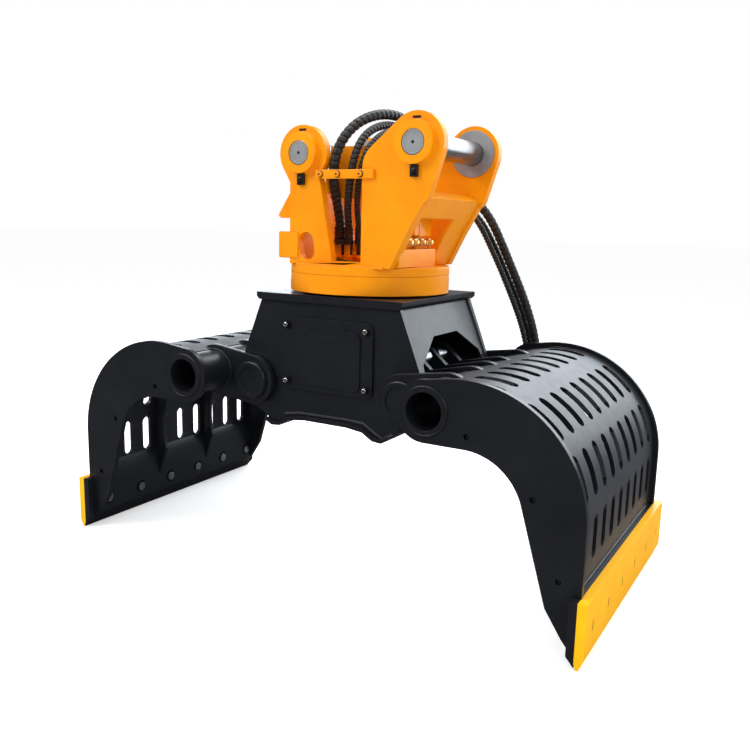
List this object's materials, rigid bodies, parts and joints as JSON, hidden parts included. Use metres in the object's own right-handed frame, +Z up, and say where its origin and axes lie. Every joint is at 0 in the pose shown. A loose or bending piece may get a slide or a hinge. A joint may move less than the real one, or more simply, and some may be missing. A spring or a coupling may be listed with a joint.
{
  "type": "sorting grapple",
  "caption": "Slewing sorting grapple for an excavator with slotted jaws, cutting blades and a pin-on bracket",
  "frame": {"origin": "on the ground between the two blades, under the slewing axis", "axes": "+X across the opening towards the right jaw, +Y along the pivot pins towards the rear, +Z up along the slewing axis"},
  "size_m": [1.978, 1.0952, 1.5665],
  "materials": {
    "black_paint": "satin black paint",
    "orange_paint": "satin orange-yellow paint",
    "yellow_paint": "bright yellow paint",
    "bare_steel": "turned and ground",
    "dark_steel": "blackened",
    "zinc": "zinc plated",
    "brass": "turned",
    "chrome_rod": "hard chrome",
    "hose_rubber": "black hose in a spiral guard"
  },
  "bodies": {
    "housing": {"top_plate": "black_paint", "front_plate": "black_paint", "rear_plate": "black_paint", "end_plates": "black_paint", "belly_plate": "black_paint", "pivot_bushes": "brass", "front_cover": "black_paint", "rear_cover": "black_paint", "housing_bolts": "zinc", "slew_ring_gear": "bare_steel", "swivel_core": "bare_steel", "hose_couplings": "zinc"},
    "bracket": {"slew_outer_ring": "orange_paint", "base_flange": "orange_paint", "front_cheek": "orange_paint", "rear_cheek": "orange_paint", "cross_box": "orange_paint", "left_web": "orange_paint", "left_guard": "orange_paint", "stick_pin": "bare_steel", "link_pin": "bare_steel", "thrust_washers": "bare_steel", "pin_locks": "dark_steel", "hose_clamp_bar": "orange_paint", "swivel_head": "black_paint", "hose_fittings": "bare_steel", "slew_motor": "orange_paint", "motor_fittings": "brass", "hose_large": "hose_rubber", "hose_middle": "hose_rubber", "hose_small": "hose_rubber"},
    "pinion": {"slew_pinion": "bare_steel"},
    "jaw_right": {"right_side_plates": "black_paint", "right_shell": "black_paint", "right_ribs": "black_paint", "right_torque_tube": "black_paint", "right_blade_holder": "black_paint", "right_blade": "yellow_paint", "right_blade_bolts": "zinc", "right_outer_arms": "black_paint", "right_cranks": "black_paint", "right_hub_caps": "black_paint", "right_pivot_pin": "bare_steel", "right_lever_pin": "bare_steel"},
    "jaw_left": {"left_side_plates": "black_paint", "left_shell": "black_paint", "left_ribs": "black_paint", "left_torque_tube": "black_paint", "left_blade_holder": "black_paint", "left_blade": "yellow_paint", "left_blade_bolts": "zinc", "left_outer_arms": "black_paint", "left_cranks": "black_paint", "left_hub_caps": "black_paint", "left_pivot_pin": "bare_steel", "left_lever_pin": "bare_steel"},
    "barrels": {"front_cylinder_barrel": "black_paint", "rear_cylinder_barrel": "black_paint"},
    "rods": {"front_cylinder_rod": "chrome_rod", "rear_cylinder_rod": "chrome_rod"}
  },
  "joints": [
    {"name": "rotator", "type": "hinge", "parent": "housing", "child": "bracket", "pos_m": [0, 0, 0.98], "axis": [0, 0, 1], "continuous": true, "deforming": ["hose_large", "hose_middle", "hose_small"]},
    {"name": "pinion_spin", "type": "hinge", "parent": "bracket", "child": "pinion", "pos_m": [0.16001, 0, 0.98], "axis": [0, 0, 1], "continuous": true},
    {"name": "right_jaw", "type": "hinge", "parent": "housing", "child": "jaw_right", "pos_m": [0.299, 0, 0.63], "axis": [0, 1, 0], "range_deg": [0, 65.6]},
    {"name": "left_jaw", "type": "hinge", "parent": "housing", "child": "jaw_left", "pos_m": [-0.299, 0, 0.63], "axis": [0, 1, 0], "range_deg": [-65.6, 0]},
    {"name": "barrel_pivot", "type": "hinge", "parent": "jaw_left", "child": "barrels", "pos_m": [-0.2367, 0, 0.72667], "axis": [0, 1, 0], "range_deg": [0, 65.6]},
    {"name": "rod_slide", "type": "slide", "parent": "barrels", "child": "rods", "axis": [1, 0, 0], "range_m": [0, 0.24929]}
  ],
  "couplings": [
    {"joint": "pinion_spin", "follows": "rotator", "ratio": -5},
    {"joint": "left_jaw", "follows": "right_jaw", "ratio": -1},
    {"joint": "barrel_pivot", "follows": "right_jaw", "ratio": 1},
    {"joint": "rod_slide", "follows": "right_jaw", "m_per_rad": 0.21764}
  ]
}
